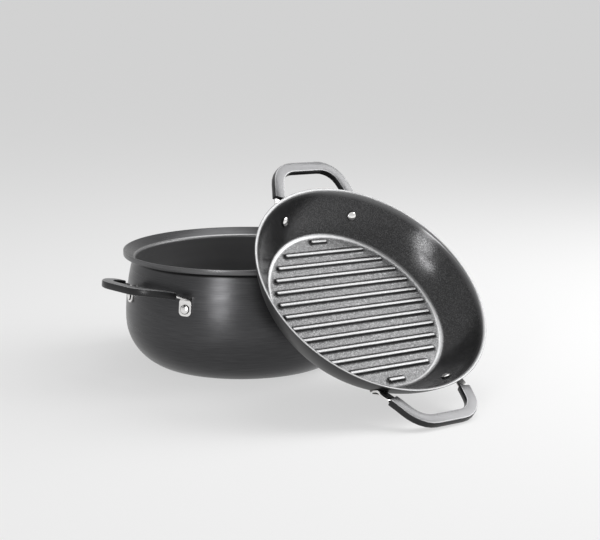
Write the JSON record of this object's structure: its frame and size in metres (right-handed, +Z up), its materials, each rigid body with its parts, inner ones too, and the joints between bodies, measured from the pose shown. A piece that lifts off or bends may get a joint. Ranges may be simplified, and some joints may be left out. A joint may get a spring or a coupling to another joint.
{
  "type": "dutch oven with griddle lid",
  "caption": "Deep round pot with belly, neck and flared rim, and a shallow ridged griddle that leans on it; each has a pair of riveted loop handles.",
  "frame": {"origin": "centre of the pot's flat base, on the table", "axes": "+Z up, X along the line of the pot's two handles (+X to the handle behind the griddle in the picture), the griddle leans on the -Y side of the pot"},
  "size_m": [0.3692, 0.4934, 0.2407],
  "materials": {
    "pot_shell": "hard-anodised charcoal with fine turned lines outside, smooth and satin inside",
    "griddle_shell": "charcoal non-stick coating with fine metallic specks, satin",
    "polished_steel": "polished stainless steel",
    "grip": "satin grey heat-resistant moulding"
  },
  "bodies": {
    "pot": {"pot_body": "pot_shell", "pot_strap_right": "polished_steel", "pot_grip_right": "grip", "pot_rivet_right_back": "polished_steel", "pot_rivet_right_front": "polished_steel", "pot_strap_left": "polished_steel", "pot_grip_left": "grip", "pot_rivet_left_front": "polished_steel", "pot_rivet_left_back": "polished_steel"},
    "griddle": {"griddle_body": "griddle_shell", "griddle_strap_upper": "polished_steel", "griddle_grip_upper": "grip", "griddle_rivet_upper_left": "polished_steel", "griddle_rivet_upper_right": "polished_steel", "griddle_strap_lower": "polished_steel", "griddle_grip_lower": "grip", "griddle_rivet_lower_right": "polished_steel", "griddle_rivet_lower_left": "polished_steel"}
  },
  "joints": [
    {"name": "griddle_lift", "type": "slide", "parent": "pot", "child": "griddle", "axis": [0, 0, 1], "range_m": [0, 0.25]}
  ]
}
